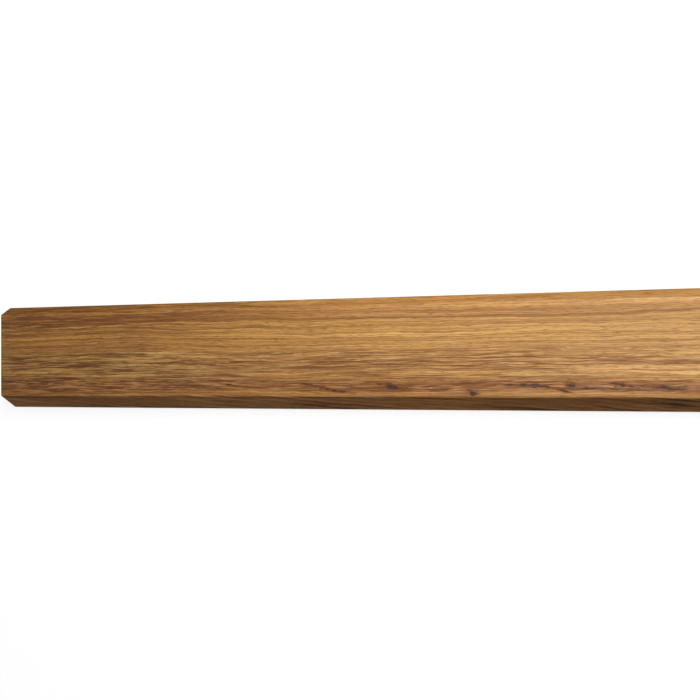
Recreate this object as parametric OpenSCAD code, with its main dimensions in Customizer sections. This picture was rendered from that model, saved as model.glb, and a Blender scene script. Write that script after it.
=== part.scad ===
// Threshold strip: a solid hardwood bar with bevelled sides that snaps onto a screwed aluminium rail.
// The strip runs along X, its width is along Y, and everything rests on the floor at Z = 0.
// The origin is the middle of the strip's length and width, at floor level.

/* [Cover] */
// Length of the wooden cover
strip_len = 900; // [600:50:1200]
// Width of the cover across its foot
foot_w = 50; // [48:1:70]
// Height of the cover
strip_h = 12; // [12:0.5:16]
// Slope of both bevels, in degrees from the floor
bevel_slope = 62; // [55:1:75]
// Height of the upright land below the front bevel
front_land = 0.8; // [0.6:0.2:6]
// Height of the upright land below the back bevel
back_land = 4.8; // [0.6:0.2:6]
// Radius of the eased edge between the top and each bevel
arris_r = 0.8; // [0.4:0.1:1.5]

/* [Groove] */
// Depth of the groove under the cover
groove_depth = 7.4; // [7.2:0.1:8]
// Width of the groove at its mouth
mouth_w = 22; // [21:0.5:24]
// Height of the undercut that holds the clips
undercut_h = 1.5; // [1.2:0.1:1.8]
// Reach of the undercut beyond the mouth on each side
undercut_reach = 2; // [1:0.5:3]

/* [Rail] */
// Distance from each end of the cover to the rail
rail_setback = 5; // [0:1:20]
// Width of the rail's base plate
rail_w = 19; // [18:0.5:20]
// Thickness of the rail's base plate
rail_t = 1.6; // [1.4:0.1:1.8]
// Width of the channel between the two legs
channel_w = 10.4; // [8:0.2:10.6]
// Thickness of each leg, measured to the tips of its ribs
leg_t = 1.2; // [1:0.1:1.4]
// Diameter of the screw holes
screw_d = 4; // [3:0.5:4.5]
// Depth of their 90 degree countersinks
sink_depth = 1; // [0.6:0.1:1.2]

/* [Clips] */
// Number of spring clips along the strip
clip_count = 7; // [3:2:9]
// Length of one clip
clip_len = 28; // [20:2:40]
// Thickness of a clip's spring arms, without their ribs
arm_t = 1.5; // [1.2:0.1:1.6]
// Number of fingers that each arm is split into
finger_count = 3; // [1:1:4]

/* [Seals] */
// Width of each foam seal
seal_w = 5; // [4:0.5:5.5]
// Thickness of each foam seal, pressed flat
seal_t = 1; // [0.6:0.2:1.6]
// Distance from the edge of the foot to the seal
seal_inset = 3; // [3:0.5:4]

/* [Hidden] */

wood_colour = "#B98A55";
rail_colour = "silver";
clip_colour = "ivory";
seal_colour = "#3A3A3C";

arris_steps = 6;      // facets round each eased edge
mouth_ease = 0.5;     // chamfer at the mouth of the groove
rib_depth = 0.25;     // height of the gripping ribs on legs and arms
rib_pitch = 0.6;      // distance from rib to rib
grip_gap = 0.05;      // gap between the ribs of a leg and those of an arm
lift_gap = 0.3;       // gap above the legs, and below the arms
clip_side_gap = 0.1;  // gap between a clip and the side of the undercut
clip_end_gap = 11;    // distance from each end of the rail to the last clip
finger_gap = 1.6;     // width of the cuts between a clip's fingers
finger_root = 0.3;    // height of arm left uncut above the fingers
centre_line = 0.3;    // depth of the V line along the middle of the rail
corner = 0.3;         // small chamfers on the rail and clips
through = 1;          // how far a cutting shape passes a face

foot_half = foot_w / 2;
mouth_half = mouth_w / 2;
undercut_half = mouth_half + undercut_reach;
ledge_z = groove_depth - undercut_h;
rail_len = strip_len - 2 * rail_setback;
leg_in = channel_w / 2;
leg_out = leg_in + leg_t;
leg_top = ledge_z - lift_gap;
arm_in = leg_out + grip_gap + rib_depth;
arm_out = arm_in + arm_t;
arm_foot = rail_t + lift_gap;
rib_count = floor((leg_top - corner - arm_foot) / rib_pitch);
sink_d = screw_d + 2 * sink_depth;
clip_pitch = (rail_len - clip_len - 2 * clip_end_gap) / (clip_count - 1);
seal_out = foot_half - seal_inset;
seal_in = seal_out - seal_w;

function clip_name(i) = str("spring_clip_", i);
function clip_x(i) = (i - (clip_count + 1) / 2) * clip_pitch;

function reversed(points) = [for (i = [len(points) - 1 : -1 : 0]) points[i]];
function mirrored(points) = [for (p = points) [-p.x, p.y]];

// A closed outline from two open halves that run the same way, drawn with y > 0.
function closed(back, front) = concat(back, reversed(mirrored(front)));

// The eased edge above a land: an arc that touches the bevel and the top, from the bevel upwards.
function arris(land) =
    let (top_half = foot_half - (strip_h - land) / tan(bevel_slope),
         centre = [top_half - arris_r * tan(bevel_slope / 2), strip_h - arris_r])
    [for (i = [0 : arris_steps])
        let (a = 90 - bevel_slope + bevel_slope * i / arris_steps)
        centre + arris_r * [cos(a), sin(a)]];

// Ribs up a face at y, from height z: each goes out to y + depth and comes back.
function ribs(y, depth, z) = concat(
    [for (i = [0 : rib_count - 1], step = [0 : 1])
        [y + step * depth, z + (i + step / 2) * rib_pitch]],
    [[y, z + rib_count * rib_pitch]]);

// Half of the cover's outline, from the roof of the groove round the foot and up to the top.
function cover_half(land) = concat(
    [[undercut_half, groove_depth],
     [undercut_half, ledge_z],
     [mouth_half, ledge_z],
     [mouth_half, mouth_ease],
     [mouth_half + mouth_ease, 0],
     [seal_in, 0],
     [seal_in, seal_t],
     [seal_out, seal_t],
     [seal_out, 0],
     [foot_half, 0],
     [foot_half, land]],
    arris(land));

// Half of the rail's outline, from the channel over one leg and out to the edge of the base plate.
rail_half = concat(
    [[leg_in, rail_t],
     [leg_in, leg_top],
     [leg_out - rib_depth - corner, leg_top],
     [leg_out - rib_depth, leg_top - corner]],
    reversed(ribs(leg_out - rib_depth, rib_depth, arm_foot)),
    [[leg_out - rib_depth, rail_t],
     [rail_w / 2 - corner, rail_t],
     [rail_w / 2, rail_t - corner],
     [rail_w / 2, 0]]);

// Half of a clip's outline, from the edge of its plate round one spring arm.
clip_half = concat(
    [[undercut_half - clip_side_gap, groove_depth],
     [undercut_half - clip_side_gap, ledge_z],
     [arm_out, ledge_z],
     [arm_out, arm_foot + corner],
     [arm_out - corner, arm_foot],
     [arm_in + corner, arm_foot]],
    ribs(arm_in, -rib_depth, arm_foot + corner),
    [[arm_in, ledge_z]]);

// Carries a section drawn in Y and Z along X, centred on the origin.
module along_x(length) {
    rotate([90, 0, 90])
        translate([0, 0, -length / 2])
            linear_extrude(length) children();
}

module screw_hole(x) {
    translate([x, 0, -through])
        cylinder(d = screw_d, h = rail_t + 2 * through, $fn = 48);
    translate([x, 0, rail_t - sink_depth])
        cylinder(d1 = screw_d, d2 = sink_d + 2 * through, h = sink_depth + through, $fn = 48);
}

// The hardwood bar, with the clip groove and the seats of the two seals under it.
module cover_strip() {
    color(wood_colour)
    along_x(strip_len) polygon(closed(cover_half(back_land), cover_half(front_land)));
}

// The extruded rail: a screw hole lies halfway between each two neighbouring clips.
module floor_rail() {
    color(rail_colour)
    difference() {
        along_x(rail_len) polygon(closed(rail_half, rail_half));
        along_x(rail_len + 2 * through)
            translate([0, rail_t]) rotate(45) square(centre_line * sqrt(2), center = true);
        for (i = [1 : clip_count - 1]) screw_hole(clip_x(i + 0.5));
    }
}

// One moulded clip: its plate fills the undercut, and its split arms grip the rail's legs.
module spring_clip(i) {
    finger_len = (clip_len - (finger_count - 1) * finger_gap) / finger_count;
    color(clip_colour)
    translate([clip_x(i), 0, 0])
    difference() {
        along_x(clip_len) polygon(closed(clip_half, clip_half));
        for (cut = [1 : 1 : finger_count - 1])
            translate([cut * (finger_len + finger_gap) - finger_gap - clip_len / 2, -mouth_half, 0])
                cube([finger_gap, mouth_w, ledge_z - finger_root]);
    }
}

// A foam strip in its seat under the cover, flush with the foot; side is 1 at the back, -1 in front.
module seal(side) {
    color(seal_colour)
    translate([-strip_len / 2, side * (seal_in + seal_out) / 2 - seal_w / 2, 0])
        cube([strip_len, seal_w, seal_t]);
}

cover_strip();
floor_rail();
for (i = [1 : clip_count])
    spring_clip(i);
seal(-1);  // seal_front
seal(1);  // seal_back
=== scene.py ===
# %% [markdown]
# # A clip-on threshold strip
# The object is a bar of oiled hardwood that covers the joint between two floors in a doorway.
# Under it hide an aluminium rail, seven nylon clips that grip the rail, and two foam seals.
# The frame that is loaded first holds the true sizes, and everything below is built around it. Lengths
# are worked out in millimetres, and turn into Blender's metres where a mesh or a material is made.

import bmesh
import bpy
import numpy as np
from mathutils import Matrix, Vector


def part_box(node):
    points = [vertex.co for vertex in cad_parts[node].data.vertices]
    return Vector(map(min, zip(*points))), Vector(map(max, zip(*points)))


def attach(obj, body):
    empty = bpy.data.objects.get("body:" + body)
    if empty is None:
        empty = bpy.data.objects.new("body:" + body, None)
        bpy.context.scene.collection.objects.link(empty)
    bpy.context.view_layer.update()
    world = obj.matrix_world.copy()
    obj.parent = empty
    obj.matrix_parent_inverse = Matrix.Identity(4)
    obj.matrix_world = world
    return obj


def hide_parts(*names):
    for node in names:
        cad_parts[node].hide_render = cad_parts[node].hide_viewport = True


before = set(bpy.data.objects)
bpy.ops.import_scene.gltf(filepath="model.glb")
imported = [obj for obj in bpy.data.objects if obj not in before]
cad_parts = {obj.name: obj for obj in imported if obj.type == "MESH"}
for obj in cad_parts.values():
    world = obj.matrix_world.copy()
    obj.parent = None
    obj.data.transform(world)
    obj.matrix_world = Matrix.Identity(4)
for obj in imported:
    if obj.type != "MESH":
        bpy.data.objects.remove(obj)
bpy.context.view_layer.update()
MM = 0.001
cover_low, cover_high = (np.array(corner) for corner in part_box("cover_strip"))

# %% [markdown]
# ## Small tools
# Four helpers are used everywhere. One turns an sRGB hex colour into the linear values that a
# shader expects. One adds a node and wires it. One puts arrays of points and faces into a mesh,
# and one starts a material.

# %% Tools for colours, nodes and meshes


def linear(hex_colour):
    """sRGB hex to linear RGBA: below 0.04045 divide by 12.92, else ((c + 0.055) / 1.055) ** 2.4."""
    srgb = np.array([int(hex_colour[i : i + 2], 16) for i in (1, 3, 5)]) / 255
    rgb = np.where(srgb <= 0.04045, srgb / 12.92, ((srgb + 0.055) / 1.055) ** 2.4)
    return (*rgb.tolist(), 1.0)


def add(tree, kind, inputs=None, stops=None, **settings):
    """Adds a node. An input is a value or a socket that feeds it. Stops are a ramp's (place, colour)."""
    new = tree.nodes.new(kind)
    for name, value in settings.items():
        setattr(new, name, value)
    for name, value in (inputs or {}).items():
        if isinstance(value, bpy.types.NodeSocket):
            tree.links.new(value, new.inputs[name])
        else:
            new.inputs[name].default_value = value
    if stops:
        ramp = new.color_ramp.elements
        (ramp[0].position, ramp[0].color), (ramp[1].position, ramp[1].color) = stops[0], stops[-1]
        for place, colour in stops[1:-1]:
            ramp.new(place).color = colour
    return new


def mesh_object(name, points, faces, materials, face_material=None, sharp_degrees=35):
    """A mesh from an (n, 3) array of points in metres and a list of faces, with smooth shading except
    where two faces meet at more than sharp_degrees.
    """
    mesh = bpy.data.meshes.new(name)
    mesh.from_pydata(points.tolist(), [], faces)
    for finish in materials:
        mesh.materials.append(finish)
    if face_material is not None:
        mesh.polygons.foreach_set("material_index", np.asarray(face_material, np.int32))
    mesh.shade_smooth()
    mesh.set_sharp_from_angle(angle=np.radians(sharp_degrees))
    mesh.update()
    made = bpy.data.objects.new(name, mesh)
    bpy.context.scene.collection.objects.link(made)
    print(f"{name}: {len(points)} points, {len(faces)} faces")
    return made


def material(name):
    """An empty material of that name and its Principled shader."""
    made = bpy.data.materials.new(name)
    made.use_nodes = True
    return made, made.node_tree, made.node_tree.nodes["Principled BSDF"]


# %% [markdown]
# ## The outline of the bar
# A planed moulding is one outline carried along a line. Its corners are never quite sharp: the
# spindle moulder leaves the arrises on top round, and sanding takes the burr off the others.
# So the outline is a list of corners, each with its own radius, and one formula rounds them all.

# %% Round corners and evenly spaced points


def rounded(corners, radii, steps=5):
    """Rounds the corners of a closed outline.
    With a and b the unit vectors from a corner to its neighbours and h half the angle between them,
    the arc's centre is r / sin(h) along a + b, and it touches the sides r / tan(h) from the corner.
    """
    a, b = (np.roll(corners, shift, axis=0) - corners for shift in (1, -1))
    a, b = (v / np.linalg.norm(v, axis=1, keepdims=True) for v in (a, b))
    half = np.arccos(np.clip((a * b).sum(1), -1, 1)) / 2
    middle = (a + b) / np.linalg.norm(a + b, axis=1, keepdims=True)
    centre = corners + middle * (radii / np.sin(half))[:, None]
    start, end = (corners + v * (radii / np.tan(half))[:, None] - centre for v in (a, b))
    turn = (np.pi - 2 * half)[:, None, None]
    k = np.linspace(0, 1, steps)[None, :, None]
    arc = (np.sin((1 - k) * turn) * start[:, None] + np.sin(k * turn) * end[:, None]) / np.sin(turn)
    return (centre[:, None] + arc).reshape(-1, 2)


def evenly(outline, spacing):
    """Adds points to a closed outline: a side is cut into ceil(length / spacing) equal parts. The
    spacing is one value, or one for each side.
    """
    ends = np.roll(outline, -1, axis=0)
    lengths = np.linalg.norm(ends - outline, axis=1)
    counts = np.maximum(np.ceil(lengths / spacing).astype(int), 1)
    first = np.repeat(np.arange(len(outline)), counts)
    share = (np.arange(counts.sum()) - np.repeat(np.cumsum(counts) - counts, counts)) / counts[first]
    return outline[first] + (ends - outline)[first] * share[:, None]


# %% [markdown]
# ## The section
# Both halves start at the roof of the groove and run round its mouth, the seat of the foam seal and the
# foot, then up a short upright land and the bevel to the top. The land is low in front and tall at the
# back, so the halves differ in one number.

# %% Outline of the cover
FOOT_HALF = (cover_high[1] - cover_low[1]) / 2 / MM
HEIGHT = cover_high[2] / MM
BEVEL_SLOPE = np.radians(62)
FRONT_LAND, BACK_LAND = 0.8, 4.8
# Radii of the arrises on top, of sanded and of planed corners, and of those that a cutter leaves.
ARRIS, SANDED, CUT, CUTTER = 1.0, 0.4, 0.2, 0.1
GROOVE_ROOF, GROOVE_LEDGE, UNDERCUT, MOUTH, MOUTH_EASE = 7.4, 5.9, 13.0, 11.0, 0.5
SEAT_IN, SEAT_OUT, SEAT_ROOF = 17.0, 22.0, 1.0
# Points lie closer on top, because only the top has relief.
TOP_SPACING, SIDE_SPACING = 0.5, 3.0


def half_corners(land, side):
    """Rows of (y, z, radius) for one half; side is 1 at the back and -1 in front. The bevel meets the
    top at FOOT_HALF - (HEIGHT - land) / tan(BEVEL_SLOPE).
    """
    top = FOOT_HALF - (HEIGHT - land) / np.tan(BEVEL_SLOPE)
    rows = np.array([
        (UNDERCUT, GROOVE_ROOF, CUTTER), (UNDERCUT, GROOVE_LEDGE, CUTTER), (MOUTH, GROOVE_LEDGE, CUT),
        (MOUTH, MOUTH_EASE, CUT), (MOUTH + MOUTH_EASE, 0, CUT),
        (SEAT_IN, 0, CUT), (SEAT_IN, SEAT_ROOF, CUTTER),
        (SEAT_OUT, SEAT_ROOF, CUTTER), (SEAT_OUT, 0, CUT),
        (FOOT_HALF, 0, SANDED), (FOOT_HALF, land, SANDED), (top, HEIGHT, ARRIS),
    ])
    return rows * (side, 1, 1)


corner_rows = np.concatenate([half_corners(BACK_LAND, 1), half_corners(FRONT_LAND, -1)[::-1]])
cover_outline = rounded(corner_rows[:, :2], corner_rows[:, 2])
on_top = np.isclose(cover_outline[:, 1], HEIGHT)
cover_outline = evenly(cover_outline, np.where(on_top, TOP_SPACING, SIDE_SPACING))
print("outline points:", len(cover_outline))

# %% [markdown]
# ## Carrying the outline along the bar
# The outline is repeated at stations along X. At each end a ring is drawn in a little, which is
# the eased edge of a saw cut that was sanded. The two caps are flat.

# %% Sweep


def inward(outline):
    """Unit normals that point into a closed outline that runs anticlockwise seen from +X: the line
    between a point's two neighbours, turned to the left by a right angle.
    """
    along = np.roll(outline, -1, axis=0) - np.roll(outline, 1, axis=0)
    along /= np.linalg.norm(along, axis=1, keepdims=True)
    return np.stack([-along[:, 1], along[:, 0]], axis=1)


def swept(outline, length, spacing, ease):
    """A grid of points, side faces and two flat caps. Each point is (station, outline + inset * inward),
    with stations about spacing apart, and the inset is ease on the two end rings and 0 elsewhere.
    """
    half = length / 2
    x = np.linspace(-half + ease, half - ease, int(length / spacing) + 1)
    x = np.concatenate([[-half], x, [half]])
    inset = np.where(np.abs(x) == half, ease, 0.0)
    ring = outline[None] + inward(outline)[None] * inset[:, None, None]
    points = np.concatenate([np.broadcast_to(x[:, None, None], ring.shape[:2] + (1,)), ring], axis=2)
    n, rings = len(outline), len(x)
    i = np.arange(rings - 1)[:, None] * n
    j = np.arange(n)[None]
    k = (j + 1) % n
    sides = np.stack([i + j, i + k, i + n + k, i + n + j], axis=2).reshape(-1, 4)
    caps = [list(range(n))[::-1], [(rings - 1) * n + p for p in range(n)]]
    return points, sides, caps


# %% [markdown]
# ## Relief of the grain
# Planed wood isn't flat when light rakes across it: the soft early wood sinks a few hundredths of a
# millimetre between the harder lines of late wood. That relief is in the mesh, on the top only, and
# it only goes inwards, so the bar keeps its size.

# %% Points of the cover
END_EASE = 0.15
STATION = 2.5
RELIEF, RELIEF_FADE = 0.05, 0.3
RING_STEPS = (5.3, 3.1, 1.9, 1.3)
WANDER_SIZE, WANDER_SPAN, PHASE = (0.4, 0.9), (60, 140), (0, 6)


def fibre_relief(x, y, seed=4):
    """Depth from 0 to 1: the mean of sin(2 pi (y + wander) / step + phase) over the RING_STEPS, halved
    and moved up by half. The wander is size * sin(x / span + phase), with a random size, span and phase.
    """
    rng = np.random.default_rng(seed)
    depth = np.zeros(np.broadcast(x, y).shape)
    for step in RING_STEPS:
        wander = rng.uniform(*WANDER_SIZE) * np.sin(x / rng.uniform(*WANDER_SPAN) + rng.uniform(*PHASE))
        depth += np.sin(2 * np.pi * (y + wander) / step + rng.uniform(*PHASE))
    return (depth / len(RING_STEPS) + 1) / 2


cover_length = (cover_high[0] - cover_low[0]) / MM
cover_points, cover_sides, cover_caps = swept(cover_outline, cover_length, STATION, END_EASE)
top_only = np.clip((cover_points[:, :, 2] - HEIGHT) / RELIEF_FADE + 1, 0, 1)
cover_points[:, :, 2] -= RELIEF * top_only * fibre_relief(cover_points[:, :, 0], cover_points[:, :, 1])
print("cover grid:", cover_points.shape)

# %% [markdown]
# ## The wood
# The bar is a dense golden-brown tropical hardwood under oil. Wood is solid, so its pattern is worked
# out in three dimensions, and the same layers run over the top, down the bevels and out at the ends.
# Each point gets a growth coordinate u in mm, which counts across the layers. The layers lean to one
# side, run slightly askew to the bar, and noise bends them, as a tree bends its rings.

# %% Growth coordinates
LEAN = 0.3
SLOPE, LEVEL_X = 0.003, -300
DRIFTS = (
    # length and width of the noise, and about how far it shifts u, in mm
    (240, 60, 1.6), (60, 12, 0.7), (12, 2.5, 0.3),
)


def growth_place(tree):
    """Sockets for x, u and w in mm: along the bar, across the layers, and along the layers.
    u = y + LEAN * (z - height) + SLOPE * (x - LEVEL_X), plus shift * (4 * noise - 2) for each of DRIFTS,
    and w = z - height - LEAN * y.
    """
    place = add(tree, "ShaderNodeVectorMath", {
        0: add(tree, "ShaderNodeTexCoord").outputs["Object"], 1: (1 / MM, 1 / MM, 1 / MM)},
        operation="MULTIPLY").outputs[0]
    x, y, z = add(tree, "ShaderNodeSeparateXYZ", {0: place}).outputs
    down = add(tree, "ShaderNodeMath", {0: z, 1: HEIGHT}, operation="SUBTRACT").outputs[0]
    leaning = add(tree, "ShaderNodeMath", {0: down, 1: LEAN, 2: y}, operation="MULTIPLY_ADD").outputs[0]
    rise = add(tree, "ShaderNodeMath", {
        0: x, 1: SLOPE, 2: -SLOPE * LEVEL_X}, operation="MULTIPLY_ADD").outputs[0]
    u = add(tree, "ShaderNodeMath", {0: leaning, 1: rise}, operation="ADD").outputs[0]
    for length, width, shift in DRIFTS:
        stretched = add(tree, "ShaderNodeVectorMath", {
            0: place, 1: (1 / length, 1 / width, 1 / width)}, operation="MULTIPLY").outputs[0]
        noise = add(tree, "ShaderNodeTexNoise", {"Vector": stretched, "Scale": 1.0, "Detail": 1.0})
        drift = add(tree, "ShaderNodeMath", {
            0: noise.outputs[0], 1: 4 * shift, 2: -2 * shift}, operation="MULTIPLY_ADD").outputs[0]
        u = add(tree, "ShaderNodeMath", {0: u, 1: drift}, operation="ADD").outputs[0]
    w = add(tree, "ShaderNodeMath", {0: y, 1: -LEAN, 2: down}, operation="MULTIPLY_ADD").outputs[0]
    return x, u, w


print("from end to end the layers move across by", round(SLOPE * cover_length, 1), "mm")

# %% [markdown]
# ## Four things to paint wood with
# Everything on the wood is made with four tools: a tone that changes from place to place, streaks,
# which are noise stretched along the bar, zones, which keep streaks to one part of the bar, and a
# mix that lays one tone over another. A Mix node has sockets for every kind of data: for colours,
# input 0 is the factor, inputs 6 and 7 are the two colours, and output 2 is the result.

# %% Tones, streaks, zones and mixes
# Each seed looks at the noise in another place: one step of it moves the noise by so many cells.
SEED_SHIFT = np.array([1.0, 3.7, 7.3])


def tone_at(tree, value, tones):
    """The colour at a value in mm, from a list of (place in mm, linear colour)."""
    low, high = tones[0][0], tones[-1][0]
    share = add(tree, "ShaderNodeMapRange", {
        "Value": value, "From Min": low, "From Max": high}).outputs[0]
    return add(tree, "ShaderNodeValToRGB", {0: share}, stops=[
        ((place - low) / (high - low), tone) for place, tone in tones]).outputs[0]


def streaks(tree, place, seed, length, width, depth, start, full):
    """A mask of streaks, with sizes in mm: 0 up to the noise level start, and 1 from the level full."""
    stretched = add(tree, "ShaderNodeVectorMath", {
        0: place, 1: (1 / length, 1 / width, 1 / depth), 2: seed * SEED_SHIFT},
        operation="MULTIPLY_ADD").outputs[0]
    noise = add(tree, "ShaderNodeTexNoise", {"Vector": stretched, "Scale": 1.0, "Detail": 1.5})
    return add(tree, "ShaderNodeMapRange", {
        "Value": noise.outputs[0], "From Min": start, "From Max": full},
        interpolation_type="SMOOTHSTEP").outputs[0]


def within(tree, value, zone):
    """A mask for a zone (low, high, fade): 1 from low to high, and 0 from fade outside it."""
    low, high, fade = zone
    rise = add(tree, "ShaderNodeMapRange", {
        "Value": value, "From Min": low - fade, "From Max": low}, interpolation_type="SMOOTHSTEP")
    fall = add(tree, "ShaderNodeMapRange", {
        "Value": value, "From Min": high, "From Max": high + fade, "To Min": 1.0, "To Max": 0.0},
        interpolation_type="SMOOTHSTEP")
    return add(tree, "ShaderNodeMath", {
        0: rise.outputs[0], 1: fall.outputs[0]}, operation="MULTIPLY").outputs[0]


def painted(tree, colour, mask, tone, strength):
    """Lays a linear tone over a colour: the mask times the strength is how much of it shows."""
    factor = add(tree, "ShaderNodeMath", {0: mask, 1: strength}, operation="MULTIPLY").outputs[0]
    return add(tree, "ShaderNodeMix", {0: factor, 6: colour, 7: tone}, data_type="RGBA").outputs[2]


# %% [markdown]
# ## Tones
# From the back to the front the tone goes from an orange band, over smooth gold, through a band of
# fine pinkish-brown lines, to a streaky band near the front crease. Over the back arris and the back
# bevel the orange is painted brighter, which is painted light. The crease itself is a thin dark layer,
# and brown heartwood lies under the front bevel. Along the bar the tone changes slowly, and a painted
# falloff of light darkens it towards the ends, most at the left end, the darkest part of the top.

# %% Tones across and along the bar
PALE, GOLD, HONEY, TAN = (linear(tone) for tone in ("#DFAC62", "#D7A45E", "#C89753", "#BF8D4C"))
# AMBER_PAINTED_LIGHT is the orange painted brighter where the back arris and back bevel begin: painted
# light.
ORANGE, AMBER_PAINTED_LIGHT, ROSY, DUSKY = (linear(tone) for tone in ("#E0A660", "#EAB06A", "#AE783C", "#AA7034"))
CREASE, HEART = linear("#744520"), linear("#B4763C")
LAYER_TONES = (
    # u in mm, tone
    (-32, HEART), (-21.7, HEART), (-21.0, CREASE), (-20.3, CREASE), (-19.5, ROSY), (-17.8, TAN),
    (-16.2, DUSKY), (-13.4, DUSKY), (-11.0, TAN), (-7.8, HONEY), (-6.4, ROSY), (-2.8, ROSY), (-0.6, TAN),
    (2.5, HONEY), (4.4, GOLD), (9.4, PALE), (11.0, HONEY), (12.6, PALE), (14.6, PALE), (16.0, TAN),
    # at 21.2 mm the back arris starts, and the brighter amber from there over the back bevel is painted
    # light
    (17.6, HONEY), (19.4, ORANGE), (21.2, AMBER_PAINTED_LIGHT), (26, ORANGE),
)
LENGTH_TONES_AND_PAINTED_FALLOFF = (
    # x in mm, tone that multiplies the others: the wood's slow change and a painted falloff of light
    # towards the ends
    (-450, "#CDBB94"), (-390, "#D8C8A4"), (-330, "#ECE1C8"), (-250, "#FAF3E6"),
    (-60, "#FFFFFF"), (120, "#F6EEE2"), (260, "#FFFFFF"), (450, "#E2D4B8"),
)
# The tones along the bar, with their painted falloff of light, apply to all layers behind the front
# crease.
TOP_ZONE = (-19, 60, 1)


def soaked(tone, soak):
    """A linear tone times soak, which is how much of each channel a finish keeps."""
    return (*(np.array(tone[:3]) * soak).tolist(), 1)


print("tones across and along:", len(LAYER_TONES), len(LENGTH_TONES_AND_PAINTED_FALLOFF))
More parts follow.
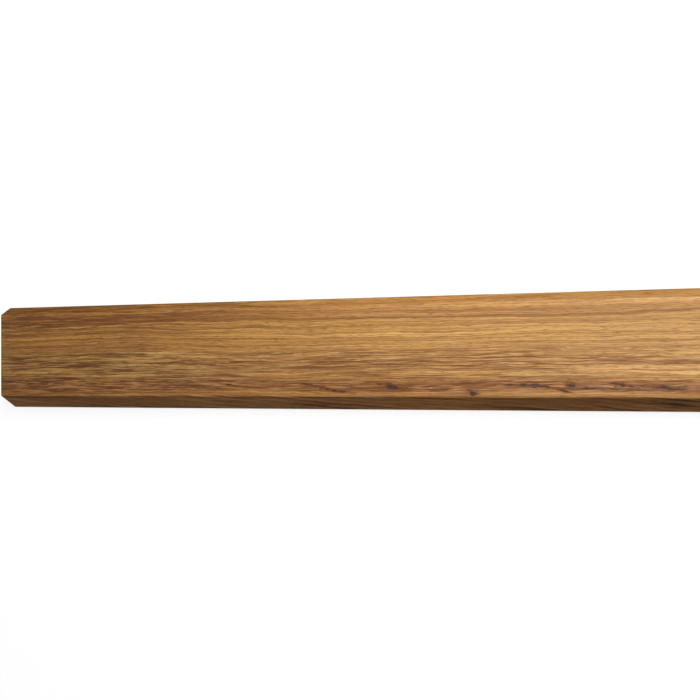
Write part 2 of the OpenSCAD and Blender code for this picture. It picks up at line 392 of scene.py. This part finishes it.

# %% [markdown]
# ## Figure
# On the tones lies the figure: soft rings, hair lines, pores and dashes, which are cut fibres and
# vessels; the pale lines and dashes are also a painted glint of the oil in open pores. Each row is one
# kind of streak, in mm, so its scale is the real one. The rows are painted in the order of the list, so
# a later one lies over an earlier one. Pores are pits as well as dark marks.
# Vessels of 0.1 to 0.2 mm are drawn 0.3 to 0.45 mm wide, because finer ones don't show.

# %% Kinds of streaks
# A zone is (low, high, fade) in mm.
EVERYWHERE = (-500, 500, 1)
LEFT_END, LEFT_HALF = (-500, -390, 130), (-500, -200, 60)
LEFT_FRONT, STREAK_BAND = (-17.5, 0.5, 1.5), (-17.0, -12.8, 1.2)
# The pale hair lines and dashes are pale fibres and also a painted glint of oil in open pores.
FIGURE = (
    # seed, (length, width, depth), (start, full), colour, strength, x zone, u zone
    # soft rings and hair lines over the whole bar
    (3, (420, 1.7, 40), (0.42, 0.62), "#A06C2C", 0.45, EVERYWHERE, EVERYWHERE),
    (5, (300, 0.8, 30), (0.48, 0.60), "#8C5824", 0.45, EVERYWHERE, EVERYWHERE),
    (7, (120, 0.45, 1.0), (0.48, 0.62), "#885424", 0.40, EVERYWHERE, EVERYWHERE),
    (9, (70, 0.45, 1.0), (0.50, 0.66), "#EDC380", 0.38, EVERYWHERE, EVERYWHERE),
    # the left end: painted shade of the light's falloff in front, dashes behind the gold, and thin dark
    # lines
    (71, (200, 9.0, 40), (0.10, 0.30), "#7A4E20", 0.30, (-500, -370, 90), (-12.0, -1.0, 4)),
    (151, (20, 0.9, 0.9), (0.50, 0.57), "#6C4018", 0.60, LEFT_END, (12.5, 40, 1.5)),
    (157, (30, 0.7, 0.7), (0.52, 0.60), "#7C4E20", 0.50, LEFT_END, EVERYWHERE),
    # long pores over the whole bar
    (13, (14, 0.45, 0.45), (0.57, 0.68), "#7E4E22", 0.32, EVERYWHERE, EVERYWHERE),
    # the band of fine lines in front of the middle, with a pale stripe on the right
    (19, (9, 0.28, 0.28), (0.55, 0.66), "#EEC888", 0.65, EVERYWHERE, (-8, 0, 3)),
    (23, (30, 0.5, 0.5), (0.50, 0.58), "#663610", 0.55, EVERYWHERE, (-7.5, -3, 1.5)),
    (103, (45, 0.7, 0.7), (0.50, 0.58), "#744014", 0.50, (-500, -185, 55), (-12.0, 0.5, 2)),
    (107, (30, 0.6, 0.6), (0.51, 0.59), "#DEAA60", 0.50, EVERYWHERE, (-12.0, 0.5, 2)),
    (97, (300, 3.0, 40), (0.10, 0.30), "#F2BE78", 0.55, (-145, 500, 50), (-9.8, -6.6, 0.8)),
    (131, (35, 0.4, 0.4), (0.53, 0.58), "#6A3A16", 0.62, LEFT_HALF, (-13.0, 1.0, 2)),
    (137, (22, 0.4, 0.4), (0.54, 0.59), "#E6B870", 0.58, LEFT_HALF, (-13.0, 1.0, 2)),
    (79, (40, 0.8, 0.8), (0.50, 0.60), "#844C1A", 0.45, EVERYWHERE, (-13.0, -8.0, 1.5)),
    # a dark band, and dark and pale dashes, on the front half of the left end
    (73, (60, 2.0, 2.0), (0.40, 0.56), "#74441A", 0.55, (-500, -280, 60), (-6.6, -4.0, 0.8)),
    (11, (45, 0.9, 0.9), (0.50, 0.57), "#5E3410", 0.60, LEFT_END, LEFT_FRONT),
    (17, (50, 0.8, 0.8), (0.53, 0.58), "#E8BE80", 0.60, LEFT_END, LEFT_FRONT),
    (163, (22, 0.5, 0.5), (0.54, 0.60), "#F0CA90", 0.50, LEFT_END, (-14, 0.5, 2)),
    (167, (16, 0.7, 0.7), (0.56, 0.62), "#582E0A", 0.60, LEFT_END, LEFT_FRONT),
    # dark lines behind the gold, and one inside it at the left end
    (29, (22, 1.0, 1.0), (0.44, 0.56), "#7A3E1C", 0.65, (-500, -370, 60), (15.0, 18.5, 0.8)),
    (31, (90, 3.0, 3.0), (0.36, 0.56), "#8C5824", 0.60, (-330, 500, 60), (15.7, 16.4, 0.5)),
    (113, (40, 1.5, 1.5), (0.42, 0.54), "#7A4A1E", 0.60, (-500, -400, 50), (10.2, 11.3, 0.5)),
    # the streaky band near the front crease, with mottled patches and small flecks
    (101, (120, 4.0, 40), (0.15, 0.35), "#74481F", 0.32, (-330, -240, 50), (-16.6, -12.4, 0.8)),
    (61, (50, 1.1, 1.1), (0.47, 0.56), "#78441A", 0.60, EVERYWHERE, STREAK_BAND),
    (37, (20, 0.5, 0.5), (0.50, 0.58), "#5E2A06", 0.70, EVERYWHERE, STREAK_BAND),
    (41, (12, 0.6, 0.6), (0.54, 0.64), "#D4A066", 0.55, EVERYWHERE, STREAK_BAND),
    (173, (14, 1.0, 1.0), (0.50, 0.56), "#5A2C0E", 0.60, LEFT_END, (-17.5, -12, 1.2)),
    (179, (16, 0.8, 0.8), (0.53, 0.58), "#E0AA6C", 0.50, LEFT_END, (-17.5, -12, 1.2)),
    (83, (9, 0.9, 0.9), (0.50, 0.60), "#966C50", 0.60, (-166, -126, 10), (-16.6, -14.0, 0.8)),
    (89, (5, 0.5, 0.5), (0.55, 0.62), "#40220C", 0.80, (-166, -130, 10), (-16.6, -14.0, 0.8)),
    (127, (10, 0.8, 0.8), (0.47, 0.58), "#8C664C", 0.60, (-230, -214, 8), (-18.2, -16.2, 0.6)),
    (43, (16, 2.0, 2.0), (0.60, 0.68), "#4A2408", 0.80, (-105, 500, 20), STREAK_BAND),
    # short pores over the whole bar
    (47, (4, 0.3, 0.3), (0.54, 0.64), "#6A3E1A", 0.50, EVERYWHERE, EVERYWHERE),
)
LONG_PORES, SHORT_PORES = 13, 47


def figured(tree, place, colour, soak):
    """Paints the figure over a colour. Also gives the sum of the pores' masks, for the pits."""
    x, u, _ = add(tree, "ShaderNodeSeparateXYZ", {0: place}).outputs
    pits = 0.0
    for seed, size, levels, tone, strength, x_zone, u_zone in FIGURE:
        mask = streaks(tree, place, seed, *size, *levels)
        for value, zone in ((x, x_zone), (u, u_zone)):
            if zone != EVERYWHERE:
                mask = add(tree, "ShaderNodeMath", {
                    0: mask, 1: within(tree, value, zone)}, operation="MULTIPLY").outputs[0]
        colour = painted(tree, colour, mask, soaked(linear(tone), soak), strength)
        if seed in (LONG_PORES, SHORT_PORES):
            pits = add(tree, "ShaderNodeMath", {0: mask, 1: pits}, operation="ADD").outputs[0]
    return colour, pits


print("kinds of streaks:", len(FIGURE))

# %% [markdown]
# ## Mineral flecks
# Minerals that the tree took up leave dark flecks with a brown halo. Each is an ellipse that lies a
# little askew to the grain, and noise makes its edge ragged. The halo and the dark core are painted by
# one number, the distance to the nearest fleck as a multiple of its size.

# %% Flecks
FLECKS = (
    # x, u, half the length, half the width, in mm
    (-325, -15, 3, 0.3), (-284, -14.8, 5, 0.4), (-274, -16.8, 5, 0.4), (-248, -15.0, 5, 0.8),
    (-213, -17.7, 1.7, 0.8), (-197, -14.4, 2.0, 0.6), (-187, -14.9, 4.6, 0.9), (-171.5, -14.6, 1.8, 0.9),
    (-174, -17.2, 2.4, 0.45), (-152, -14.6, 4, 0.5), (-134, -15.3, 5, 0.7), (-131, -23.4, 6, 0.6),
)
FLECK_SLANT, FLECK_RAGGED = 0.14, 4.5
FLECK_LAYERS = (
    # distance where it starts, distance where it is full, colour, strength; first the halo
    (5.2, 3.4, "#8A5220", 0.55),
    (3.9, 2.6, "#3A2006", 0.90),
)
OUT_OF_REACH = 9.0  # a distance at which no fleck shows


def flecked(tree, place, ragged, colour, soak):
    """Paints the flecks by a distance: the length of ((x, u + FLECK_SLANT * x) - centre) / half the
    size, smallest over all flecks, plus FLECK_RAGGED times the ragged noise.
    """
    x, u, _ = add(tree, "ShaderNodeSeparateXYZ", {0: place}).outputs
    slanted_u = add(tree, "ShaderNodeMath", {
        0: x, 1: FLECK_SLANT, 2: u}, operation="MULTIPLY_ADD").outputs[0]
    slanted = add(tree, "ShaderNodeCombineXYZ", {0: x, 1: slanted_u}).outputs[0]
    nearest = OUT_OF_REACH
    for fleck_x, fleck_u, half_length, half_width in FLECKS:
        centre = np.array([fleck_x, fleck_u + FLECK_SLANT * fleck_x, 0])
        reach = np.array([1 / half_length, 1 / half_width, 0])
        offset = add(tree, "ShaderNodeVectorMath", {
            0: slanted, 1: reach, 2: -centre * reach}, operation="MULTIPLY_ADD").outputs[0]
        distance = add(tree, "ShaderNodeVectorMath", {0: offset}, operation="LENGTH").outputs["Value"]
        nearest = add(tree, "ShaderNodeMath", {0: distance, 1: nearest}, operation="MINIMUM").outputs[0]
    edge = add(tree, "ShaderNodeMath", {
        0: ragged, 1: FLECK_RAGGED, 2: nearest}, operation="MULTIPLY_ADD").outputs[0]
    for start, full, tone, strength in FLECK_LAYERS:
        mask = add(tree, "ShaderNodeMapRange", {
            "Value": edge, "From Min": start, "From Max": full},
            interpolation_type="SMOOTHSTEP").outputs[0]
        colour = painted(tree, colour, mask, soaked(linear(tone), soak), strength)
    return colour


print("flecks:", len(FLECKS))

# %% [markdown]
# ## Run-out grain
# Under the front bevel the grain runs out of the wood, so its lines cross the bevel at a slant and not
# along it. They are streaks on a coordinate that rises with x, and they show in patches only.

# %% Grain of the front bevel
BEVEL_ZONE, BEVEL_SLANT = (-40, -20.2, 1), 0.12
BEVEL_PATCHES = (149, 130, 40, 40, 0.20, 0.34)  # seed, length, width, depth, start, full
BEVEL_FIGURE = (
    # seed, (length, width, depth), (start, full), colour, strength
    (53, (60, 1.2, 1), (0.54, 0.62), "#C89058", 0.70),
    (59, (50, 1.3, 1), (0.56, 0.64), "#4A2814", 0.70),
    (67, (30, 0.6, 1), (0.54, 0.64), "#5C3418", 0.40),
)


def with_run_out(tree, place, colour, soak):
    """Paints the grain of the front bevel, as streaks on (x, u + BEVEL_SLANT * x)."""
    x, u, _ = add(tree, "ShaderNodeSeparateXYZ", {0: place}).outputs
    slanted_u = add(tree, "ShaderNodeMath", {
        0: x, 1: BEVEL_SLANT, 2: u}, operation="MULTIPLY_ADD").outputs[0]
    slanted = add(tree, "ShaderNodeCombineXYZ", {0: x, 1: slanted_u}).outputs[0]
    patches = add(tree, "ShaderNodeMath", {
        0: within(tree, u, BEVEL_ZONE), 1: streaks(tree, place, *BEVEL_PATCHES)},
        operation="MULTIPLY").outputs[0]
    for seed, size, levels, tone, strength in BEVEL_FIGURE:
        mask = add(tree, "ShaderNodeMath", {
            0: streaks(tree, slanted, seed, *size, *levels), 1: patches}, operation="MULTIPLY").outputs[0]
        colour = painted(tree, colour, mask, soaked(linear(tone), soak), strength)
    return colour


print("kinds of streaks on the bevel:", len(BEVEL_FIGURE))

# %% [markdown]
# ## Three finishes of one wood
# The top and the bevels were sanded and oiled. The underside and the groove came from the planer and
# stayed dry: paler, rougher, with fine knife marks. The ends are saw cuts: their open pores drink
# more oil, so they are darker. All three have the same tones, figure, flecks and grain, and differ
# in how much of each colour they keep, in their shine, and in the marks of the tool. Dried oil has an
# IOR of about 1.48, and its satin shine wavers a little from place to place.

# %% Wood materials
WOOD_IOR, SHINE_SPREAD = 1.48, 0.05
RAGGED_SCALE = (0.3, 1.0, 1.0)  # cells in each mm along, across and down
NOISE_LOW, NOISE_HIGH = 0.3, 0.7  # nearly all of a noise lies between them
WAVE_LENGTH = np.pi / 10  # of a Wave node at a scale of 1
FINE_RELIEF = 0.05


def wood(name, soak, roughness, mark_step=4.0, mark_depth=0.0):
    """The solid wood in one finish. Soak multiplies its tones, and tool marks lie mark_step mm apart and
    are mark_depth times as deep as a pore, which is FINE_RELIEF.
    """
    made, tree, shader = material(name)
    x, u, w = growth_place(tree)
    place = add(tree, "ShaderNodeCombineXYZ", {0: x, 1: u, 2: w}).outputs[0]
    stretched = add(tree, "ShaderNodeVectorMath", {0: place, 1: RAGGED_SCALE}, operation="MULTIPLY")
    ragged = add(tree, "ShaderNodeTexNoise", {
        "Vector": stretched.outputs[0], "Scale": 1.0, "Detail": 2.0}).outputs[0]

    colour = tone_at(tree, u, [(stop, soaked(tone, soak)) for stop, tone in LAYER_TONES])
    colour, pits = figured(tree, place, colour, soak)
    colour = flecked(tree, place, ragged, colour, soak)
    colour = with_run_out(tree, place, colour, soak)
    # Along the bar the colour is multiplied by the wood's slow change and by a painted falloff of light
    # towards the ends.
    tone_and_painted_falloff = tone_at(tree, x, [(stop, linear(tone)) for stop, tone in LENGTH_TONES_AND_PAINTED_FALLOFF])
    colour = add(tree, "ShaderNodeMix", {
        0: within(tree, u, TOP_ZONE), 6: colour, 7: tone_and_painted_falloff},
        data_type="RGBA", blend_type="MULTIPLY").outputs[2]
    tree.links.new(colour, shader.inputs["Base Color"])

    shine = add(tree, "ShaderNodeMapRange", {
        "Value": ragged, "From Min": NOISE_LOW, "From Max": NOISE_HIGH,
        "To Min": roughness - SHINE_SPREAD, "To Max": roughness + SHINE_SPREAD}).outputs[0]
    tree.links.new(shine, shader.inputs["Roughness"])
    shader.inputs["IOR"].default_value = WOOD_IOR

    marks = add(tree, "ShaderNodeTexWave", {
        "Vector": place, "Scale": WAVE_LENGTH / mark_step,
        "Distortion": 1.5, "Detail": 1.0}).outputs["Fac"]
    height = add(tree, "ShaderNodeMath", {
        0: marks, 1: mark_depth, 2: pits}, operation="MULTIPLY_ADD").outputs[0]
    bump = add(tree, "ShaderNodeBump", {
        "Height": height, "Strength": 0.4, "Distance": FINE_RELIEF * MM}, invert=True)
    tree.links.new(bump.outputs[0], shader.inputs["Normal"])
    return made


# Sanding took all tool marks off the oiled faces.
oiled = wood("oiled_hardwood", (1.0, 1.0, 1.0), roughness=0.45)
planed = wood("planed_hardwood", (0.95, 1.02, 1.12), roughness=0.72, mark_step=1.4, mark_depth=0.8)
end_grain = wood("end_grain_hardwood", (0.62, 0.56, 0.5), roughness=0.6, mark_step=0.8, mark_depth=1.0)
print("wood finishes:", oiled.name, planed.name, end_grain.name)

# %% [markdown]
# ## The finish of each face
# A face takes the finish of the last tool that touched it. The caps and the eased rings next to them
# are saw cuts. The foot, the seats and the groove are planed. Everything else is sanded and oiled.

# %% Cover piece
OILED_FACE, PLANED_FACE, END_FACE = 0, 1, 2
# A face is part of the foot or of the groove if its middle lies this near to the floor or the walls.
AT_FOOT, TOUCHING = 0.02, 0.1
centres = cover_points.reshape(-1, 3)[cover_sides].mean(1)
along, across, up = np.abs(centres[:, 0]), np.abs(centres[:, 1]), centres[:, 2]
in_groove = (across < UNDERCUT + TOUCHING) & (up < GROOVE_ROOF + TOUCHING)
in_seat = (across < SEAT_OUT + TOUCHING) & (up < SEAT_ROOF + TOUCHING)
planed_side = in_groove | in_seat | (up < AT_FOOT)
sawn = along > cover_length / 2 - END_EASE
side_finish = np.where(sawn, END_FACE, np.where(planed_side, PLANED_FACE, OILED_FACE))
print("faces oiled, planed and sawn:", np.bincount(side_finish))
cover = mesh_object(
    "hardwood_cover", cover_points.reshape(-1, 3) * MM, cover_sides.tolist() + cover_caps,
    [oiled, planed, end_grain], np.concatenate([side_finish, [END_FACE, END_FACE]]))
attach(cover, "cover")
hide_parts("cover_strip")

# %% [markdown]
# ## Rail and clips
# The rail is a mill-finish aluminium extrusion and the clips are moulded in natural nylon. Their CAD
# shape is right, but real edges are never sharp: a die leaves a small radius, and so does a mould.
# So each gets a copy of its CAD mesh, joined back into one skin, with its edges rounded by a Bevel.

# %% Copies with rounded edges
MERGE = 0.002
FLAT_DEGREES, EDGE_DEGREES = 1, 25


def eased_copy(node, name, finish, body, width):
    """A piece for a CAD node: its mesh with doubles merged, flat faces rejoined and edges rounded."""
    shape = bmesh.new()
    shape.from_mesh(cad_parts[node].data)
    bmesh.ops.remove_doubles(shape, verts=shape.verts, dist=MERGE * MM)
    bmesh.ops.dissolve_limit(
        shape, angle_limit=np.radians(FLAT_DEGREES), verts=shape.verts, edges=shape.edges)
    mesh = bpy.data.meshes.new(name)
    shape.to_mesh(mesh)
    shape.free()
    mesh.materials.clear()
    mesh.materials.append(finish)
    mesh.shade_smooth()
    piece = bpy.data.objects.new(name, mesh)
    bpy.context.scene.collection.objects.link(piece)
    ease = piece.modifiers.new("ease", "BEVEL")
    ease.width = width * MM
    ease.segments = 2
    ease.limit_method = "ANGLE"
    ease.angle_limit = np.radians(EDGE_DEGREES)
    ease.harden_normals = True
    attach(piece, body)
    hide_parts(node)
    print(f"{name}: {len(mesh.vertices)} points before its edges are rounded")
    return piece


# %% [markdown]
# ## Mill-finish aluminium
# Bare extruded aluminium is bright but not polished. The die draws faint lines along the whole bar,
# a few hundredths of a millimetre apart, which smear reflections across them. Handling and a thin
# oxide skin leave soft cloudy patches, a centimetre or two across, where the metal is duller.

# %% Aluminium material
aluminium, tree, shader = material("mill_finish_aluminium")
metal_place = add(tree, "ShaderNodeTexCoord").outputs["Object"]
# Die lines are drawn 0.25 mm apart, coarser than real ones, so that they show.
LINE_LENGTH, LINE_STEP, LINE_DEPTH, CLOUD = 250 * MM, 0.25 * MM, 0.02 * MM, 14 * MM
CLEAN_ROUGHNESS, OXIDE_ROUGHNESS, LINE_ROUGHNESS = 0.34, 0.48, 0.12
drawn = add(tree, "ShaderNodeVectorMath", {
    0: metal_place, 1: (1 / LINE_LENGTH, 1 / LINE_STEP, 1 / LINE_STEP)}, operation="MULTIPLY")
die_lines = add(tree, "ShaderNodeTexNoise", {"Vector": drawn.outputs[0], "Scale": 1.0, "Detail": 2.0})
clouds = add(tree, "ShaderNodeTexNoise", {"Vector": metal_place, "Scale": 1 / CLOUD, "Detail": 3.0})
oxide = add(tree, "ShaderNodeMapRange", {
    "Value": clouds.outputs[0], "From Min": 0.35, "From Max": 0.7,
    "To Min": CLEAN_ROUGHNESS, "To Max": OXIDE_ROUGHNESS})
metal_roughness = add(tree, "ShaderNodeMath", {
    0: die_lines.outputs[0], 1: LINE_ROUGHNESS, 2: oxide.outputs[0]}, operation="MULTIPLY_ADD")
metal_tone = add(tree, "ShaderNodeValToRGB", {0: clouds.outputs[0]}, stops=[
    (0.3, linear("#DADBDC")), (0.75, linear("#C4C6C8"))])
die_bump = add(tree, "ShaderNodeBump", {
    "Height": die_lines.outputs[0], "Strength": 0.15, "Distance": LINE_DEPTH})
shader.inputs["Metallic"].default_value = 1.0
tree.links.new(metal_tone.outputs[0], shader.inputs["Base Color"])
tree.links.new(metal_roughness.outputs[0], shader.inputs["Roughness"])
tree.links.new(die_bump.outputs[0], shader.inputs["Normal"])
rail = eased_copy("floor_rail", "aluminium_rail", aluminium, "rail", width=0.08)

# %% [markdown]
# ## Natural nylon
# Undyed nylon is creamy white and slightly see-through, so light spreads a little below its surface.
# The mould was spark-eroded, which leaves an even, fine grain.

# %% Nylon material and clips
nylon, tree, shader = material("natural_nylon")
nylon_place = add(tree, "ShaderNodeTexCoord").outputs["Object"]
# Spark-erosion grain is drawn 0.2 mm across, about twice its real size. The melt flowed in over 8 mm.
GRAIN, GRAIN_DEPTH, FLOW = 0.2 * MM, 0.02 * MM, 8 * MM
grain = add(tree, "ShaderNodeTexNoise", {"Vector": nylon_place, "Scale": 1 / GRAIN, "Detail": 1.0})
flow = add(tree, "ShaderNodeTexNoise", {"Vector": nylon_place, "Scale": 1 / FLOW, "Detail": 2.0})
nylon_tone = add(tree, "ShaderNodeValToRGB", {0: flow.outputs[0]}, stops=[
    (0.3, linear("#E9E4D4")), (0.7, linear("#DCD6C3"))])
nylon_bump = add(tree, "ShaderNodeBump", {
    "Height": grain.outputs[0], "Strength": 0.3, "Distance": GRAIN_DEPTH})
tree.links.new(nylon_tone.outputs[0], shader.inputs["Base Color"])
tree.links.new(nylon_bump.outputs[0], shader.inputs["Normal"])
shader.inputs["Roughness"].default_value = 0.42
shader.inputs["IOR"].default_value = 1.53
shader.inputs["Subsurface Weight"].default_value = 0.3
shader.inputs["Subsurface Radius"].default_value = (1.0, 0.9, 0.7)
shader.inputs["Subsurface Scale"].default_value = 0.8 * MM
clips = [
    eased_copy(node, node.replace("spring", "nylon"), nylon, "cover", width=0.1)
    for node in sorted(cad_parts) if node.startswith("spring_clip_")]
print("clips:", len(clips))

# %% [markdown]
# ## Foam seals
# Each seal is a strip of closed-cell foam, slit from a sheet and glued into its seat. A slit edge is
# never straight and the foam gives under the bar, so its width wanders and its corners are soft.
# The cut opens some cells, which show as fine dark pits.

# %% Foam material
foam, tree, shader = material("closed_cell_foam")
foam_place = add(tree, "ShaderNodeTexCoord").outputs["Object"]
# Cells are drawn 0.35 mm across, at the coarse end of such foam.
CELL, CELL_DEPTH, MOTTLE = 0.35 * MM, 0.1 * MM, 4 * MM
cells = add(tree, "ShaderNodeTexVoronoi", {"Vector": foam_place, "Scale": 1 / CELL})
mottle = add(tree, "ShaderNodeTexNoise", {"Vector": foam_place, "Scale": 1 / MOTTLE, "Detail": 3.0})
shade = add(tree, "ShaderNodeMath", {
    0: cells.outputs["Distance"], 1: mottle.outputs[0]}, operation="MULTIPLY")
foam_tone = add(tree, "ShaderNodeValToRGB", {0: shade.outputs[0]}, stops=[
    (0.05, linear("#2A2A2C")), (0.45, linear("#4A4A4D"))])
foam_bump = add(tree, "ShaderNodeBump", {
    "Height": cells.outputs["Distance"], "Strength": 0.5, "Distance": CELL_DEPTH})
tree.links.new(foam_tone.outputs[0], shader.inputs["Base Color"])
tree.links.new(foam_bump.outputs[0], shader.inputs["Normal"])
shader.inputs["Roughness"].default_value = 0.85
shader.inputs["IOR"].default_value = 1.5

# %% [markdown]
# ## Two strips whose edges wander
# A strip is swept like the bar, from a rectangle with soft corners. Two slow waves whose lengths don't
# fit each other draw its long sides in, and the fourth power of the distance from its middle keeps that
# to the edges.

# %% Foam strips
SOFT_CORNER, SLIT_EASE, FOAM_SPACING = 0.3, 0.1, 1.0
SLIT_WANDER, SHORT_SPAN, LONG_SPAN, EDGE_POWER = 0.12, 17, 43, 4


def foam_seal(name, node, seed):
    """A strip in its seat. Each point moves in by SLIT_WANDER * wave * (|y| / half width) ** EDGE_POWER,
    with the wave 1/2 + 1/2 sin(x / SHORT_SPAN + seed) sin(x / LONG_SPAN + 2 seed + side).
    """
    low, high = (np.array(corner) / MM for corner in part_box(node))
    middle, half_width = (low[1] + high[1]) / 2, (high[1] - low[1]) / 2
    corners = np.array([(half_width, 0), (half_width, high[2]), (-half_width, high[2]), (-half_width, 0)])
    outline = evenly(rounded(corners, np.full(len(corners), SOFT_CORNER)), FOAM_SPACING)
    points, sides, caps = swept(outline, high[0] - low[0], STATION, SLIT_EASE)
    x, y = points[:, :, 0], points[:, :, 1]
    edge = np.sign(y) * (np.abs(y) / half_width) ** EDGE_POWER
    wave = np.sin(x / SHORT_SPAN + seed) * np.sin(x / LONG_SPAN + 2 * seed + np.sign(y)) / 2 + 0.5
    points[:, :, 1] = middle + y - SLIT_WANDER * wave * edge
    piece = mesh_object(name, points.reshape(-1, 3) * MM, sides.tolist() + caps, [foam])
    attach(piece, "cover")
    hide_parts(node)
    return piece


foam_seal("foam_seal_front", "seal_front", seed=1)
foam_seal("foam_seal_back", "seal_back", seed=4)

# %% [markdown]
# ## Floor and backdrop
# The strip lies on a pale floor that bends up into a wall, so that no horizon shows. The floor lies
# half a millimetre low, which keeps the two from sharing a plane. Its paint glows by itself, and it
# neither lights the strip nor shades it or mirrors in it.

# %% Floor and backdrop
FLOOR_DROP = 0.5 * MM
COVE_RADIUS, COVE_BEND = 6.0, 2.0


def cove(radius, bend, height, steps=24, around=96):
    """A round floor that bends up into a wall and a flat ceiling, seen from inside. The bend is a
    quarter circle: r = radius - bend + bend * sin(turn) and z = bend - bend * cos(turn).
    """
    turn = np.linspace(0, np.pi / 2, steps)
    r = np.concatenate([[0], radius - bend + bend * np.sin(turn), [radius, 0]])
    z = np.concatenate([[0], bend - bend * np.cos(turn), [height, height]])
    angle = np.linspace(0, 2 * np.pi, around, endpoint=False)[:, None]
    z = np.broadcast_to(z, (around, len(z)))
    points = np.stack([r * np.cos(angle), r * np.sin(angle), z], axis=2)
    i, j = np.arange(around)[:, None] * len(r), np.arange(len(r) - 1)[None]
    k = np.roll(i, -1, axis=0)
    faces = np.stack([i + j, i + j + 1, k + j + 1, k + j], axis=2).reshape(-1, 4)
    return points.reshape(-1, 3), faces


paint, tree, shader = material("pale_paint")
shader.inputs["Base Color"].default_value = linear("#8C8C8C")
shader.inputs["Roughness"].default_value = 0.9
shader.inputs["Specular IOR Level"].default_value = 0.0
shader.inputs["Emission Color"].default_value = linear("#FFFFFF")
shader.inputs["Emission Strength"].default_value = 0.82
# From behind the paint is clear, so that the strip can be seen from below through the floor.
seen_from = add(tree, "ShaderNodeMixShader", {
    0: add(tree, "ShaderNodeNewGeometry").outputs["Backfacing"], 1: shader.outputs[0],
    2: add(tree, "ShaderNodeBsdfTransparent").outputs[0]})
tree.links.new(seen_from.outputs[0], tree.nodes["Material Output"].inputs["Surface"])
cove_points, cove_faces = cove(COVE_RADIUS, COVE_BEND, height=5.0)
floor = mesh_object("floor", cove_points - (0, 0, FLOOR_DROP), cove_faces.tolist(), [paint])
floor.visible_diffuse = floor.visible_glossy = floor.visible_shadow = False

# %% [markdown]
# ## Sky
# The sky is bright overhead and dim below the horizon, as in a white room. It fills the shadows.

# %% Sky
# The sky brightens from a little below the horizon up to the zenith.
SKY_STARTS, SKY_DIM, SKY_BRIGHT = -0.2, 0.08, 0.5
world = bpy.data.worlds.new("studio")
world.use_nodes = True
bpy.context.scene.world = world
sky = add(world.node_tree, "ShaderNodeSeparateXYZ", {
    0: add(world.node_tree, "ShaderNodeTexCoord").outputs["Generated"]})
glow = add(world.node_tree, "ShaderNodeMapRange", {
    "Value": sky.outputs[2], "From Min": SKY_STARTS, "To Min": SKY_DIM, "To Max": SKY_BRIGHT})
world.node_tree.links.new(glow.outputs[0], world.node_tree.nodes["Background"].inputs["Strength"])
world.node_tree.nodes["Background"].inputs["Color"].default_value = (1.0, 1.0, 1.0, 1.0)
print("sky strength below and overhead:", SKY_DIM, SKY_BRIGHT)

# %% [markdown]
# ## Softboxes
# A softbox hangs half a metre above the bar, towards its back, so it lights the top and the back bevel
# evenly and leaves the front bevel in half shade. It is small and hangs near the middle of the bar,
# so the light falls off towards the ends. A weak light from below shows the underside. Bare metal is
# only as bright as what it mirrors, so two large screens stand in front of the bar and behind it, and
# they light only the rail and the clips.

# %% Lights


def softbox(name, centre, target, size, power):
    """A square area light at centre that faces target, in metres and watts. It tilts by the angle
    between the upright and the line to target, and turns about Z to that line's bearing.
    """
    light = bpy.data.lights.new(name, "AREA")
    light.size = size
    light.energy = power
    made = bpy.data.objects.new(name, light)
    away = np.subtract(centre, target)
    made.location = centre
    tilt = np.arctan2(np.hypot(away[0], away[1]), away[2])
    made.rotation_euler = (tilt, 0, np.arctan2(away[1], away[0]) + np.pi / 2)
    bpy.context.scene.collection.objects.link(made)
    print(f"{name}: {np.linalg.norm(away):.2f} m away, tilted {np.degrees(tilt):.0f} degrees")
    return made


softbox("key", (-0.08, 0.33, 0.46), (-0.08, 0, 0), size=0.3, power=3.1)
softbox("from_below", (0, 0, -1.0), (0, 0, 0), size=1.0, power=8.0)
fixings = bpy.data.collections.new("fixings")
for piece in (rail, *clips):
    fixings.objects.link(piece)
for name, side in (("screen_front", -1), ("screen_back", 1)):
    screen = softbox(name, (0, side, 0.35), (0, 0, 0), size=1.2, power=6.0)
    screen.light_linking.receiver_collection = fixings

# %% [markdown]
# ## Camera
# The camera looks down on the left third of the bar, leaning towards the left end, so the bar
# narrows slightly into the distance and leaves the frame on the right.

# %% Camera
# Lengths are in mm. The leans and the roll are in degrees away from a view straight down.
AIM_FROM_END, AIM_Y, DISTANCE = 182.95, 1.64, 440.35
LEAN_ALONG, LEAN_ACROSS, ROLL = 18.26, 0.84, -0.39
camera = bpy.data.objects.new("camera", bpy.data.cameras.new("camera"))
camera.data.lens = 51.43
camera.data.sensor_width = 36
camera.data.clip_start = 0.01
camera.rotation_euler = np.radians((LEAN_ACROSS, LEAN_ALONG, ROLL))
aim = np.array([-cover_length / 2 + AIM_FROM_END, AIM_Y, HEIGHT])
towards_camera = np.array(camera.rotation_euler.to_matrix())[:, 2]
camera.location = (aim + DISTANCE * towards_camera) * MM
bpy.context.scene.collection.objects.link(camera)
bpy.context.scene.camera = camera
bpy.context.scene.view_settings.view_transform = "Standard"
print("camera at, mm:", np.round(np.array(camera.location) / MM))
